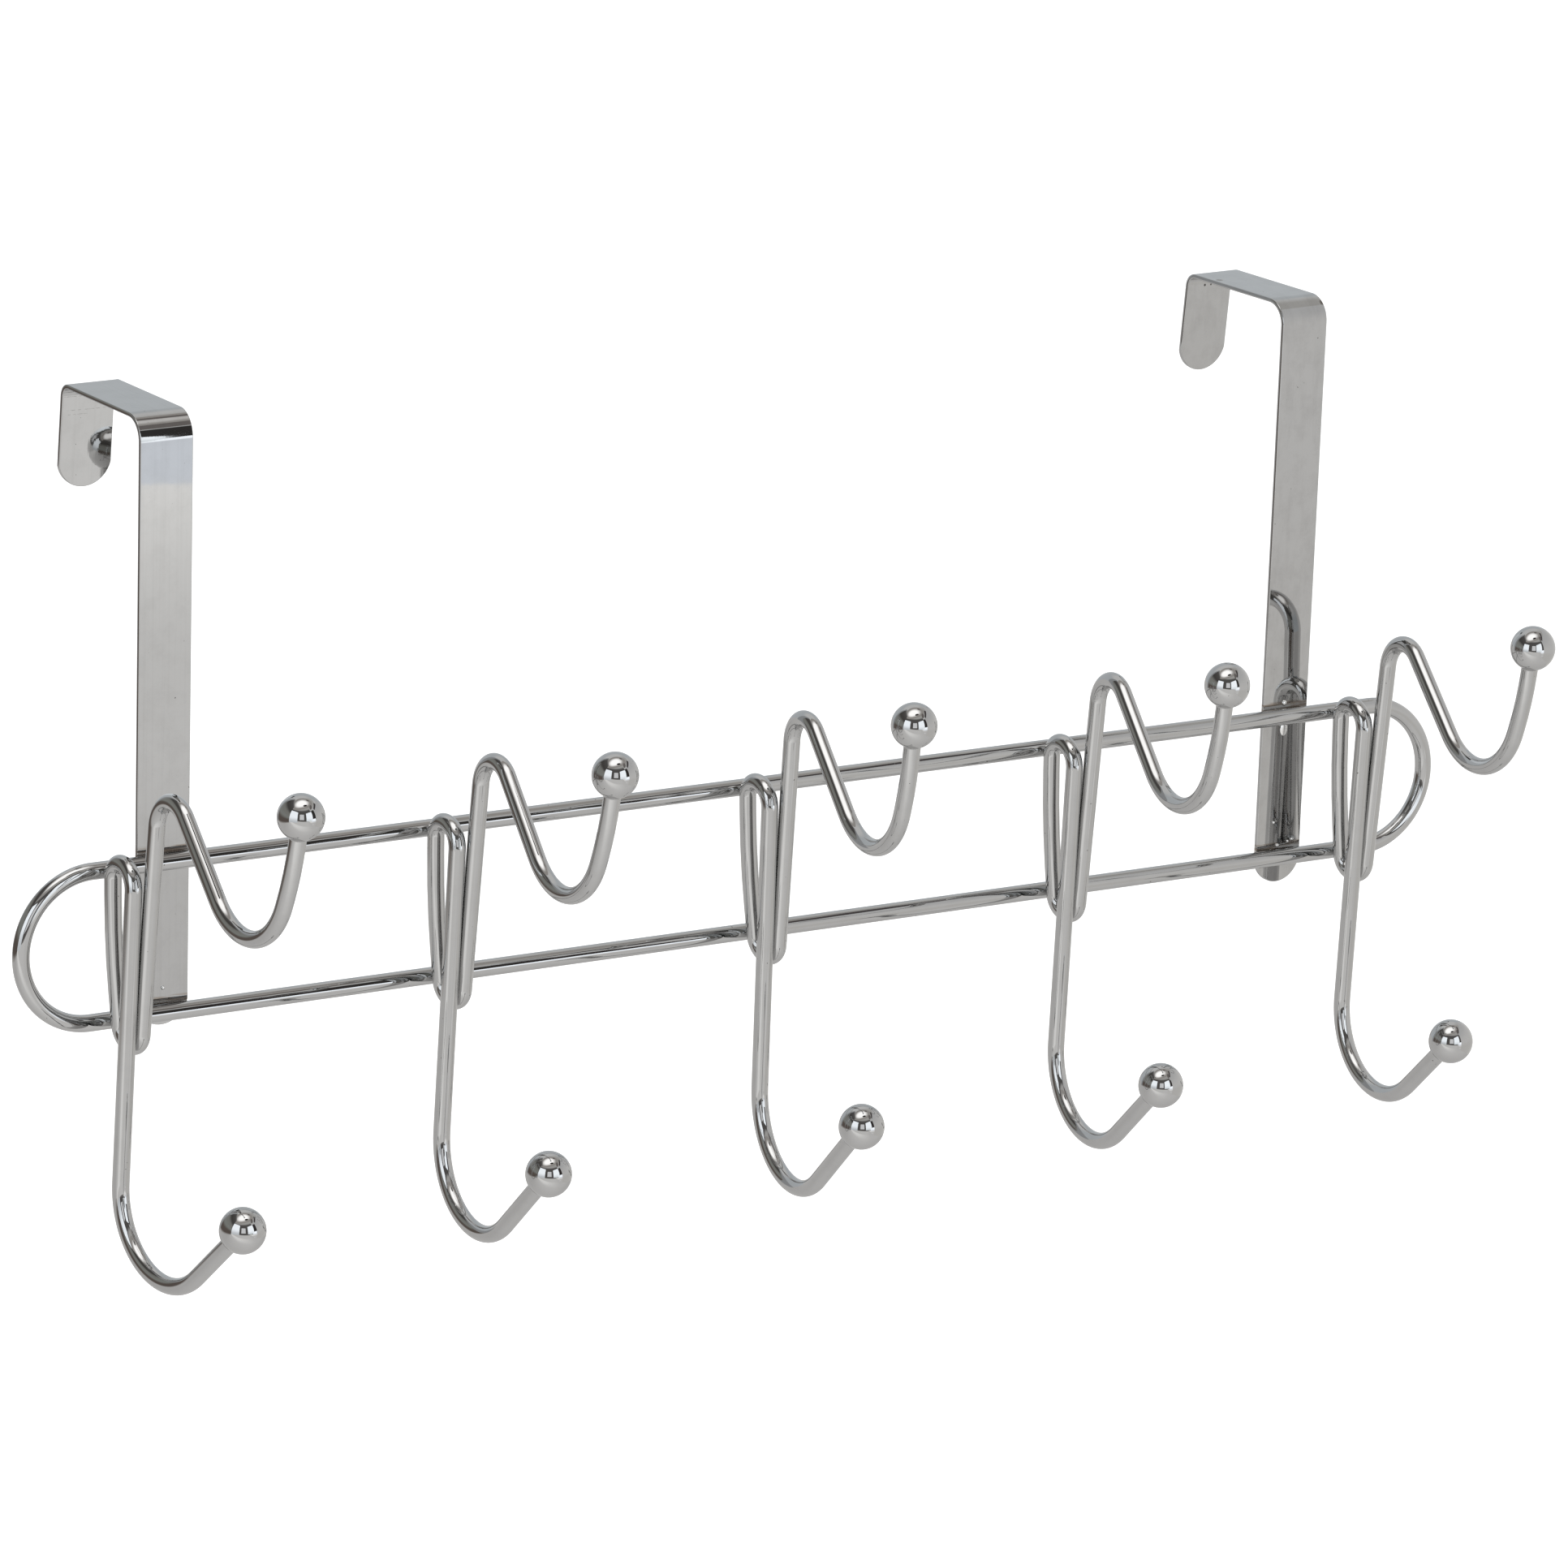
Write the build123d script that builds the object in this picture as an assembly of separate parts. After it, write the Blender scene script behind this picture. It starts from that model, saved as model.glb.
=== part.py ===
from build123d import *
import os
from math import cos, radians, sin, sqrt

os.makedirs("parts", exist_ok=True)

# Over door rack. Two flat straps hang over the top of a door. A long wire loop is welded to the
# front of the straps, and five double hooks, each bent from one wire, are welded across the loop.
# X runs along the door and Z is up. The top of the door is at Z = 0, its front face is at Y = 0,
# and X = 0 is midway between the straps' welds. All sizes are in millimetres and degrees.

# Stock
WIRE_D = 4.76
BALL_D = 12.7
STRAP_W = 15.88
STRAP_T = 1.25
STRAP_EDGE_R = 0.25
# Clearance between two pieces that are welded together
WELD_GAP = 0.02

# Straps: the door gap is the inside width, bend radii are on the outside, legs run from the top face
STRAP_SPACING = 371.2
DOOR_GAP = 44.1
FRONT_BEND_R = 7.2
BACK_BEND_R = 4.2
BACK_SPLAY = 5.2
BACK_LEG = 30.2
FRONT_LEGS = (169.5, 173.5)
LEG_END_R = 8.1
# Each strap is welded on a little askew: it leans sideways and turns about its own length
STRAP_LEANS = (-0.65, 0.0)
STRAP_TURNS = (-1.1, 2.2)

# Wire loop: two rails joined by half circles, welded a little to one side of the middle. The
# overhang is how far each rail runs straight past the place of the last hook
RAIL_SPACING = 42.4
RAIL_OVERHANG = 8.2
RAIL_DROP = 121.67
RAIL_SHIFT = 2.3

# Hooks along the loop
HOOK_COUNT = 5
HOOK_PITCH = 101.5
HOOK_SHIFT = -1.1
# Clear space between the front shank and the crest run, which stand side by side
SHANK_GAP = 0.1

# Centre line of a hook from the lower ball to the upper one: corners as (Y, Z) from the place
# where the back run crosses the upper rail, and the bend radius at each corner between the balls
LOWER_BALL = (-68.0, -78.9)
LOWER_BEND = (-9.7, -134.8)
TURN_FRONT_TOP = (-11.6, 4.0)
TURN_BACK_TOP = (0.06, 4.0)
BACK_BOW = (0.0, -20.0)
TURN_BACK_FOOT = (0.0, -46.9)
TURN_FRONT_FOOT = (-10.0, -46.9)
CREST = (-15.5, 35.7)
VALLEY = (-70.3, -17.5)
STEM_BEND = (-85.3, 21.6)
UPPER_BALL = (-88.0, 37.7)
LOWER_BEND_R = 22.0
TURN_FRONT_R = 6.2
BACK_BOW_R = 300.0
CREST_R = 8.8
VALLEY_R = 20.6
STEM_R = 88.0
# Straight stretch left between the two bends of the top turn, and between those of the foot
TURN_STRAIGHT = 0.5
# The back run crosses the rails at a slant and bows: sideways places of its top, bow and foot
SLANT_TOP_X = -2.6
SLANT_BOW_X = -1.7
SLANT_FOOT_X = 1.9

# Each hook is cut, bent and welded on by hand a little differently: how far it sits to one side and
# leans, how far its arms turn sideways and drop, and how much longer its lower stem is
HOOK_SIDES = (1.0, -0.3, -0.2, 0.4, 0.4)
HOOK_LEANS = (1.1, 1.2, -0.6, 0.8, 1.3)
UPPER_YAW = (1.0, -2.7, -6.5, -6.6, -4.0)
UPPER_DROOP = (0.6, 0.3, -2.2, -2.2, -1.9)
LOWER_YAW = (5.5, -1.5, -5.5, -4.2, -2.9)
LOWER_DROOP = (1.0, 0.2, 1.0, 0.9, 0.5)
LOWER_SPARE = (-1.9, 1.7, 4.2, 0.1, -1.6)

WIRE_R = WIRE_D / 2
RAIL_STRAIGHT = (HOOK_COUNT - 1) * HOOK_PITCH + 2 * RAIL_OVERHANG
# Half way between the rails, where straps and hooks are turned and leaned
WELD_Z = -RAIL_DROP - RAIL_SPACING / 2
# Room for the strap that is turned the most, between the door and the rails
STRAP_ROOM = STRAP_T + STRAP_W * sin(radians(max(abs(turn) for turn in STRAP_TURNS)))
RAIL_Y = -(STRAP_ROOM + WELD_GAP + WIRE_R)
BACK_RUN_Y = RAIL_Y - WIRE_D - WELD_GAP
SHANK_X = (WIRE_D + SHANK_GAP) / 2
TURN_BACK_R = TURN_BACK_TOP[0] - TURN_FRONT_TOP[0] - TURN_FRONT_R - TURN_STRAIGHT
FOOT_R = (TURN_BACK_FOOT[0] - TURN_FRONT_FOOT[0] - TURN_STRAIGHT) / 2


def swept(section, path):
    """A flat section carried along a path that starts at the section's middle."""
    return sweep(Plane(origin=path @ 0, z_dir=path % 0) * section, path=path)


def leg_end_cutter():
    """What is cut from a leg to leave a rounded end. Local Z points back along the leg."""
    depth = LEG_END_R - sqrt(LEG_END_R**2 - (STRAP_W / 2) ** 2)
    block = Box(2 * STRAP_W, 4 * STRAP_T, 2 * depth)
    disc = Pos(0, 0, LEG_END_R) * Rot(90, 0, 0) * Cylinder(LEG_END_R, 6 * STRAP_T)
    return block - disc


def strap(front_leg):
    """A strip bent over the door top, its long front leg down and its back leg splayed away."""
    mid = STRAP_T / 2
    splay = radians(BACK_SPLAY)
    back_corner = DOOR_GAP + mid * (1 - sin(splay)) / cos(splay)
    back_leg = BACK_LEG - mid / cos(splay)
    front_end = (0, -mid, STRAP_T - front_leg)
    back_end = (0, back_corner + back_leg * sin(splay), mid - back_leg * cos(splay))
    path = FilletPolyline(
        front_end,
        (0, -mid, mid),
        (0, back_corner, mid),
        back_end,
        radius=(FRONT_BEND_R - mid, BACK_BEND_R - mid),
    )
    strip = sweep(
        Plane(origin=front_end, x_dir=(1, 0, 0), z_dir=(0, 0, 1)) * Rectangle(STRAP_W, STRAP_T),
        path=path,
    )
    strip -= Pos(*front_end) * leg_end_cutter()
    strip -= Pos(*back_end) * Rot(BACK_SPLAY, 0, 0) * leg_end_cutter()
    return fillet(strip.edges(), STRAP_EDGE_R)


def welded_strap(side):
    """A strap leaned and turned about the middle of its welds, with its nearer edge at the rails."""
    turn = STRAP_TURNS[side]
    edge_to_middle = STRAP_W / 2 * sin(radians(abs(turn)))
    weld = Pos((side - 0.5) * STRAP_SPACING, RAIL_Y + WIRE_R + WELD_GAP + edge_to_middle, WELD_Z)
    askew = Rot(0, 0, turn) * Rot(0, STRAP_LEANS[side], 0)
    return weld * askew * Pos(0, STRAP_T, -WELD_Z) * strap(FRONT_LEGS[side])


def rail_loop():
    """The long wire loop in front of the straps."""
    outline = SlotCenterToCenter(RAIL_STRAIGHT, RAIL_SPACING).wire()
    middle = Plane.XZ * Pos(RAIL_SHIFT, WELD_Z, -RAIL_Y)
    return swept(Circle(WIRE_R), middle * outline)


def arm(corner, points, yaw, droop):
    """Points of an arm, dropped and then turned sideways about the corner it leaves from."""
    return [
        corner + (p - corner).rotate(Axis.X, droop).rotate(Axis.Z, yaw)
        for p in points
    ]


def hook_corners(k):
    """Corners of hook k's centre line from the lower ball's middle to the upper ball's."""
    x = (k - (HOOK_COUNT - 1) / 2) * HOOK_PITCH + HOOK_SHIFT + HOOK_SIDES[k]
    weld = Vector(x, BACK_RUN_Y, WELD_Z)

    def place(side, corner):
        return Vector(x + side, BACK_RUN_Y + corner[0], -RAIL_DROP + corner[1])

    lower_bend = place(-SHANK_X, LOWER_BEND)
    lower_stem = place(-SHANK_X, LOWER_BALL) - lower_bend
    lower_ball = lower_bend + lower_stem * (1 + LOWER_SPARE[k] / lower_stem.length)
    crest = place(SHANK_X, CREST)
    corners = [
        *arm(lower_bend, [lower_ball], LOWER_YAW[k], LOWER_DROOP[k]),
        lower_bend,
        place(-SHANK_X, TURN_FRONT_TOP),
        place(SLANT_TOP_X, TURN_BACK_TOP),
        place(SLANT_BOW_X, BACK_BOW),
        place(SLANT_FOOT_X, TURN_BACK_FOOT),
        place(SHANK_X, TURN_FRONT_FOOT),
        crest,
        *arm(
            crest,
            [place(SHANK_X, p) for p in (VALLEY, STEM_BEND, UPPER_BALL)],
            UPPER_YAW[k],
            UPPER_DROOP[k],
        ),
    ]
    return [weld + (p - weld).rotate(Axis.Y, HOOK_LEANS[k]) for p in corners]


def hook(corners):
    """One bent wire that stops at the surface of the ball on each of its ends."""
    path = FilletPolyline(
        *corners,
        radius=(
            LOWER_BEND_R,
            TURN_FRONT_R,
            TURN_BACK_R,
            BACK_BOW_R,
            FOOT_R,
            FOOT_R,
            CREST_R,
            VALLEY_R,
            STEM_R,
        ),
    )
    wire = swept(Circle(WIRE_R), path)
    seat = Sphere(BALL_D / 2 + WELD_GAP)
    return wire - Pos(*corners[0]) * seat - Pos(*corners[-1]) * seat


export_step(rail_loop(), "parts/rail_loop.step")
for side, name in enumerate(("left", "right")):
    export_step(welded_strap(side), f"parts/strap_{name}.step")
for k in range(HOOK_COUNT):
    hook_line = hook_corners(k)
    export_step(hook(hook_line), f"parts/hook_{k + 1}.step")
    export_step(Pos(*hook_line[0]) * Sphere(BALL_D / 2), f"parts/ball_lower_{k + 1}.step")
    export_step(Pos(*hook_line[-1]) * Sphere(BALL_D / 2), f"parts/ball_upper_{k + 1}.step")
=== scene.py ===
# %% [markdown]
# # An over door rack in polished chrome
# The rack is two flat straps that hang over a door, a long wire loop welded to their fronts, and five
# double hooks that end in balls. The solid model is loaded first, and a finer piece is then laid over each
# of its solids. A few small pieces are added. Nothing here moves, so all ride on the one body of the frame.

# %% Load the solid model and keep its box
import bpy
import numpy as np
from functools import reduce
from mathutils import Matrix, Vector


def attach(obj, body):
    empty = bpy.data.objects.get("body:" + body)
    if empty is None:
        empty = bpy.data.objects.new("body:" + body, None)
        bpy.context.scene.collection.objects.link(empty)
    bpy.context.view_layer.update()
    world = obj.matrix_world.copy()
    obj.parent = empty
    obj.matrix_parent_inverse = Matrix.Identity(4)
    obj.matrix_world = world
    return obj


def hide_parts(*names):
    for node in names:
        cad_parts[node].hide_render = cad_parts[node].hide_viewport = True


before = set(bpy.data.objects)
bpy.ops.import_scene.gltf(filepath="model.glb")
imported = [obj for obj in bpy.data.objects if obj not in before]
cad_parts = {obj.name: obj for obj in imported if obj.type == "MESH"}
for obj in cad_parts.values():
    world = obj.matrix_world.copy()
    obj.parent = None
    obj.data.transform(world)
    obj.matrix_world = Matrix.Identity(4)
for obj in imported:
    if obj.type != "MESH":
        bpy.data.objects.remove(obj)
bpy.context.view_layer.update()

# %% [markdown]
# ## From a grid of points to a mesh
# Every surface here is a function of two parameters, worked out on a grid as whole arrays. A grid has
# seams where a ring closes and poles where a row shrinks to a point. Points that fall on the same spot are
# joined by their coordinates, which closes both, and faces that lose corners become triangles or vanish.
# A mirror finish shows every error of a normal, so the exact normals of the formula go into the mesh too.

# %% A mesh from a grid
MM = 0.001
SAME_SPOT = 1e-7


def grid_faces(rows, columns):
    """The four corners of each face of a grid, as places in the list of its points."""
    index = np.arange(rows * columns).reshape(rows, columns)
    return np.stack([index[:-1, :-1], index[1:, :-1], index[1:, 1:], index[:-1, 1:]], -1).reshape(-1, 4)


def skin(name, points, normals, uv):
    """A mesh from grids of points, normals and texture places, all of one shape (rows, columns). Its faces
    look to where a step down the rows crossed with a step along the columns points."""
    flat = points.reshape(-1, 3)
    spots, first, joined = np.unique(
        np.round(flat / SAME_SPOT).astype(np.int64), axis=0, return_index=True, return_inverse=True)
    faces = grid_faces(*points.shape[:2])
    corners = joined.reshape(-1)[faces]
    keep = corners != np.roll(corners, -1, axis=1)
    keep[keep.sum(1) < 3] = False
    sizes = keep.sum(1)[keep.any(1)]
    loops = corners[keep]
    mesh = bpy.data.meshes.new(name)
    mesh.vertices.add(len(spots))
    mesh.vertices.foreach_set("co", flat[first].astype(np.float32).ravel())
    mesh.loops.add(len(loops))
    mesh.loops.foreach_set("vertex_index", loops.astype(np.int32))
    mesh.polygons.add(len(sizes))
    mesh.polygons.foreach_set("loop_start", np.r_[0, np.cumsum(sizes)[:-1]].astype(np.int32))
    texture_places = mesh.uv_layers.new(name="along").data
    texture_places.foreach_set("uv", uv.reshape(-1, 2)[faces[keep]].astype(np.float32).ravel())
    mesh.update(calc_edges=True)
    mesh.polygons.foreach_set("use_smooth", np.ones(len(sizes), bool))
    mesh.normals_split_custom_set_from_vertices(normals.reshape(-1, 3)[first].tolist())
    piece = bpy.data.objects.new(name, mesh)
    bpy.context.scene.collection.objects.link(piece)
    return piece


def fit(piece, node, finish):
    """Puts a finished piece on the frame, in place of its solid if a node is named."""
    piece.data.materials.append(finish)
    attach(piece, "root")
    if node:
        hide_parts(node)
    print(piece.name, "stands for", node or "no solid", "and has", len(piece.data.polygons), "faces")


print("mesh maker ready, points within", SAME_SPOT, "m are joined")

# %% [markdown]
# ## Shader maths as arithmetic
# A finish is a recipe of values that change over a surface. Writing each one as a chain of nodes by hand
# hides the idea, so a small class wraps a socket and lets plus, minus and times add the Math nodes. Any
# other node comes from one method that takes its type, its settings and its sockets.

# %% A value on a surface
class Value:
    """A number that changes from place to place: one output socket of a node tree."""

    def __init__(self, bench, socket):
        self.bench = bench
        self.socket = socket

    def math(self, operation, *others):
        """What a Math node makes of this value and the others."""
        return self.bench.node("ShaderNodeMath", {"operation": operation}, dict(enumerate((self, *others))))

    def __add__(self, other):
        return self.math("ADD", other)

    __radd__ = __add__

    def __mul__(self, other):
        return self.math("MULTIPLY", other)

    __rmul__ = __mul__

    def __sub__(self, other):
        return self.math("SUBTRACT", other)

    def __rsub__(self, other):
        return self * -1 + other

    def __truediv__(self, other):
        return self.math("DIVIDE", other)

    def __pow__(self, other):
        return self.math("POWER", other)

    def __abs__(self):
        return self.math("ABSOLUTE")

    def most(self, other):
        """The larger of this value and another."""
        return self.math("MAXIMUM", other)

    def step(self, low, high):
        """0 below low, 1 above high, and a smooth rise between them."""
        return self.bench.node(
            "ShaderNodeMapRange", {"interpolation_type": "SMOOTHSTEP"},
            {"Value": self, "From Min": low, "From Max": high})

    def inside(self, low, high, soft):
        """1 between low and high, falling to 0 over a soft edge that is centred on each."""
        half = soft / 2
        return self.step(low - half, low + half) * (1 - self.step(high - half, high + half))


print("values can be added, multiplied, stepped and compared")

# %% A bench of nodes
class Bench:
    """A node tree that is being laid out."""

    def __init__(self, tree):
        self.tree = tree
        tree.nodes.clear()

    def node(self, kind, settings=None, sockets=None, out=0):
        """Adds a node: its settings first, then a number, colour or link for each socket. A socket is given
        by its number or name, or by its identifier where several share a name."""
        made = self.tree.nodes.new(kind)
        for name, value in (settings or {}).items():
            setattr(made, name, value)
        for key, value in (sockets or {}).items():
            socket = self.pick(made.inputs, key)
            if isinstance(value, Value):
                self.tree.links.new(value.socket, socket)
            else:
                socket.default_value = value
        return Value(self, self.pick(made.outputs, out)) if len(made.outputs) else made

    @staticmethod
    def pick(sockets, key):
        """The socket with this identifier, or else with this number or name."""
        return {s.identifier: s for s in sockets}.get(key) or sockets[key]

    @staticmethod
    def colour(given):
        """A colour as a socket takes it: a value as it is, and three numbers with full opacity added."""
        return given if isinstance(given, Value) else (*given, 1)

    def mix(self, amount, first, second):
        """The colour first where amount is 0 and second where it is 1."""
        return self.node(
            "ShaderNodeMix", {"data_type": "RGBA"},
            {"Factor_Float": amount, "A_Color": self.colour(first), "B_Color": self.colour(second)},
            out="Result_Color")

    def noise(self, place, scale, detail, roughness=0.5):
        """Soft noise about the middle of 0 and 1, with scale cells to each unit of the place."""
        return self.node(
            "ShaderNodeTexNoise", {},
            {"Vector": place, "Scale": scale, "Detail": detail, "Roughness": roughness})

    def stretch(self, place, scale):
        """A place with each of its three directions multiplied."""
        return self.node("ShaderNodeMapping", {}, {"Vector": place, "Scale": scale})

    def split(self, vector):
        """The X, Y and Z of a vector as three values."""
        parts = self.node("ShaderNodeSeparateXYZ", {}, {"Vector": vector}).socket.node.outputs
        return [Value(self, socket) for socket in parts]


def new_finish(name):
    """A new material, and the bench of its nodes."""
    finish = bpy.data.materials.new(name)
    finish.use_nodes = True
    return finish, Bench(finish.node_tree)


print("shader maths ready")

# %% [markdown]
# ## Chrome on wire, balls and straps
# Chrome plating is a thin hard mirror. Its own colour is a light neutral grey, and everything else that is
# seen in it is the room. Drawn wire keeps faint lines along its length, which show as a little haze and as
# a ripple in the mirrored room. So the base is a metal with a very low roughness, and noise that is drawn
# out along the wire changes that roughness and lifts a bump of a few microns. Dust and pinholes in the
# plating are small dark specks, where there is no metal to mirror anything.

# %% Chrome finishes
CHROME = (0.522, 0.522, 0.520)
DULL_CHROME = (0.450, 0.448, 0.444)
SPECK = (0.09, 0.08, 0.07)
BLOOM = (0.19, 0.115, 0.055)
HAZE_SCALE, SPECK_SCALE = 160, 900  # cells to the metre
CLOUD_EDGES, LINE_EDGES = (0.40, 0.70), (0.45, 0.70)  # noise at which haze and lines start and are full
CLOUD_DULLS, LINE_DULLS = 0.7, 0.5
SPECK_EDGE, SPECK_SOFT = 0.80, 0.03
SPECK_HAZE, BLOOM_HAZE = 0.3, 0.10  # what specks and weld colour add to the roughness
RIPPLE_HEIGHT = 0.2 * MM


def chrome(name, lines, specks, roughness, ripple, mottle, marks=None, metal=CHROME):
    """A chrome finish. lines stretches the drawn lines over the piece's own texture places (along, round),
    specks is the share of dark pinholes, ripple is the bump's strength, and mottle is how far haze and lines
    dull the clean colour, metal. marks, if there are any, is a function that gives the amounts of weld colour
    and of dark spots from the bench and the place on the object."""
    finish, bench = new_finish(name)
    place = bench.node("ShaderNodeTexCoord", out="Object")
    along = bench.node("ShaderNodeUVMap", {"uv_map": "along"})
    grain = bench.noise(bench.stretch(along, (*lines, 1)), scale=1, detail=4, roughness=0.6)
    haze = bench.noise(place, HAZE_SCALE, detail=6, roughness=0.65)
    dots = bench.noise(place, SPECK_SCALE, detail=1)
    pinholes = dots.step(SPECK_EDGE - specks, SPECK_EDGE + SPECK_SOFT - specks)
    cloud = haze.step(*CLOUD_EDGES)
    dulled = (cloud * CLOUD_DULLS + grain.step(*LINE_EDGES) * LINE_DULLS) * mottle
    rough = roughness * (0.6 + 0.4 * grain + 0.6 * cloud) + pinholes * SPECK_HAZE
    colour = bench.mix(dulled, metal, DULL_CHROME)
    if marks:
        heat, spots = marks(bench, place)
        colour = bench.mix(heat, colour, BLOOM)
        rough = rough + heat * BLOOM_HAZE
        pinholes = pinholes.most(spots)
    bump = bench.node(
        "ShaderNodeBump", {},
        {"Strength": ripple, "Distance": RIPPLE_HEIGHT, "Height": grain + haze * 0.5})
    surface = bench.node(
        "ShaderNodeBsdfPrincipled", {},
        {"Base Color": bench.mix(pinholes, colour, SPECK), "Metallic": 1 - pinholes,
         "Roughness": rough, "Normal": bump})
    bench.node("ShaderNodeOutputMaterial", {}, {"Surface": surface})
    print("finish", name, "with a roughness of about", roughness)
    return finish


wire_chrome = chrome("wire_chrome", lines=(25, 7), specks=0.02, roughness=0.030, ripple=0.012, mottle=0.35)
ball_chrome = chrome("ball_chrome", lines=(3, 3), specks=0.0, roughness=0.028, ripple=0.006, mottle=0.25)

# %% [markdown]
# ## The wire loop
# One wire is bent into a long loop: two straight rails and a half circle at each end. A curve object with
# a bevel would do, but the path is so simple that it is written down: a round section carried along
# a track, with rings close together in the bends.

# %% A round section along a path
WIRE_D = 4.76 * MM
WIRE_R = WIRE_D / 2
FULL_TURN = 2 * np.pi


def unit(vectors):
    """Each vector divided by its own length."""
    return vectors / np.linalg.norm(vectors, axis=-1, keepdims=True)


def lengths_along(line):
    """How far along a line of points each point is: the distances between neighbours, added up."""
    return np.r_[0, np.cumsum(np.linalg.norm(np.diff(line, axis=0), axis=1))]


def wire_skin(name, line, heading, sideways, radius=WIRE_R, sides=48):
    """A tube: rings of points round each place on the line. The ring's first direction is the sideways
    vector less its part along the heading, and its second is square to both."""
    first = unit(sideways - (heading @ sideways)[:, None] * heading)
    second = np.cross(heading, first)
    turn = np.linspace(FULL_TURN, 0, sides + 1)
    out = first[:, None] * np.cos(turn)[:, None] + second[:, None] * np.sin(turn)[:, None]
    points = line[:, None] + np.broadcast_to(radius, len(line))[:, None, None] * out
    uv = np.stack(np.broadcast_arrays(lengths_along(line)[:, None], turn / FULL_TURN), -1)
    return skin(name, points, out, uv)


print("wire", WIRE_D / MM, "mm thick")

# %% The loop's track
STRAP_W = 15.88 * MM
STRAP_T = 1.25 * MM
WELD_GAP = 0.02 * MM
STRAP_TURNS = (-1.1, 2.2)  # degrees, for the left and the right strap
STRAP_ROOM = STRAP_T + STRAP_W * np.sin(np.radians(np.abs(STRAP_TURNS).max()))
RAIL_Y = -(STRAP_ROOM + WELD_GAP + WIRE_R)
RAIL_Z = -121.67 * MM
RAIL_SPACING = 42.4 * MM
WELD_Z = RAIL_Z - RAIL_SPACING / 2
HOOK_COUNT = 5
HOOK_PITCH = 101.5 * MM
RAIL_OVERHANG = 8.2 * MM
RAIL_STRAIGHT = (HOOK_COUNT - 1) * HOOK_PITCH + 2 * RAIL_OVERHANG
RAIL_SHIFT = 2.3 * MM


def loop_track(bend_steps=90, run_steps=90):
    """Places and headings round the loop. The angle stands still along each rail and turns by half a circle
    round each end, and a place is the end's centre plus the radius in that direction."""
    quarter = np.pi / 2
    angle = np.r_[
        np.linspace(-quarter, quarter, bend_steps), np.full(run_steps, quarter),
        np.linspace(quarter, 3 * quarter, bend_steps), np.full(run_steps, 3 * quarter)]
    half = RAIL_STRAIGHT / 2
    centre = np.r_[
        np.full(bend_steps, half), np.linspace(half, -half, run_steps),
        np.full(bend_steps, -half), np.linspace(-half, half, run_steps)]
    keep = np.r_[True, (np.diff(angle) != 0) | (np.diff(centre) != 0)]
    angle, centre = angle[keep], centre[keep]
    still = np.zeros_like(angle)
    radius = RAIL_SPACING / 2
    line = np.stack([
        RAIL_SHIFT + centre + radius * np.cos(angle),
        still + RAIL_Y,
        WELD_Z + radius * np.sin(angle)], -1)
    return line, np.stack([-np.sin(angle), still, np.cos(angle)], -1)


TOWARDS_DOOR = np.array([0.0, 1.0, 0.0])
fit(wire_skin("wire_rail_loop", *loop_track(), TOWARDS_DOOR), "rail_loop", wire_chrome)

# %% [markdown]
# ## The hooks
# Each hook is one wire: up from the lower ball, round the lower bend, over the loop and down behind, under
# it and up again beside itself, over the crest and out to the upper ball. A bender makes straight runs
# joined by arcs, so the path is a list of corners and a radius for each. Both arms of each hook are turned
# and dropped by a few degrees, as hand bending leaves them.

# %% A path of runs and arcs
def bent_path(corners, radii, run_step=4 * MM, bend_step=np.radians(2.5), last_steps=8):
    """Straight runs joined by arcs that touch both runs. Along an arc that leaves heading a and turns towards
    n by the angle f, the place is start + radius * (sin f * a + (1 - cos f) * n)."""
    places, headings = [corners[0][None]], []
    heading = unit(np.diff(corners, axis=0))
    here = corners[0]
    for corner, radius, a, b in zip(corners[1:-1], radii, heading[:-1], heading[1:]):
        turn = np.arccos(np.clip(a @ b, -1, 1))
        inward = unit(b - (a @ b) * a)
        start = corner - a * radius * np.tan(turn / 2)
        steps = max(2, int(np.linalg.norm(start - here) / run_step))
        places.append(here + np.linspace(0, 1, steps + 1)[1:, None] * (start - here))
        headings.append(np.repeat(a[None], steps, axis=0))
        f = np.linspace(0, turn, max(3, int(turn / bend_step)) + 1)[1:, None]
        places.append(start + radius * (np.sin(f) * a + (1 - np.cos(f)) * inward))
        headings.append(np.cos(f) * a + np.sin(f) * inward)
        here = places[-1][-1]
    places.append(here + np.linspace(0, 1, last_steps + 1)[1:, None] * (corners[-1] - here))
    headings.append(np.repeat(heading[-1:], last_steps, axis=0))
    return np.vstack(places), np.vstack([heading[:1], *headings])


print("path bender ready")

# %% The corners of one hook
BALL_R = 12.7 * MM / 2
BACK_RUN_Y = RAIL_Y - WIRE_D - WELD_GAP
HOOK_SHIFT = -1.1 * MM
# corners (x, y, z) in mm, from the place where the back run crosses the upper rail
SHANK_GAP = 0.1
SHANK_X = (WIRE_D / MM + SHANK_GAP) / 2
LOWER_BALL = (-SHANK_X, -68.0, -78.9)
LOWER_BEND = (-SHANK_X, -9.7, -134.8)
WAIST = [
    (-SHANK_X, -11.6, 4.0), (-2.6, 0.06, 4.0),  # the turn over the upper rail
    (-1.7, 0.0, -20.0),  # the bow of the back run
    (1.9, 0.0, -46.9), (SHANK_X, -10.0, -46.9)]  # the turn under the lower rail
CREST = (SHANK_X, -15.5, 35.7)
UPPER_ARM = [(SHANK_X, -70.3, -17.5), (SHANK_X, -85.3, 21.6), (SHANK_X, -88.0, 37.7)]
BEND_RADII = np.array([
    22.0,  # the lower bend
    6.2, 4.96, 300.0, 4.75, 4.75,  # the waist
    8.8, 20.6, 88.0]) * MM  # the crest, the valley and the upper stem
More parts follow.
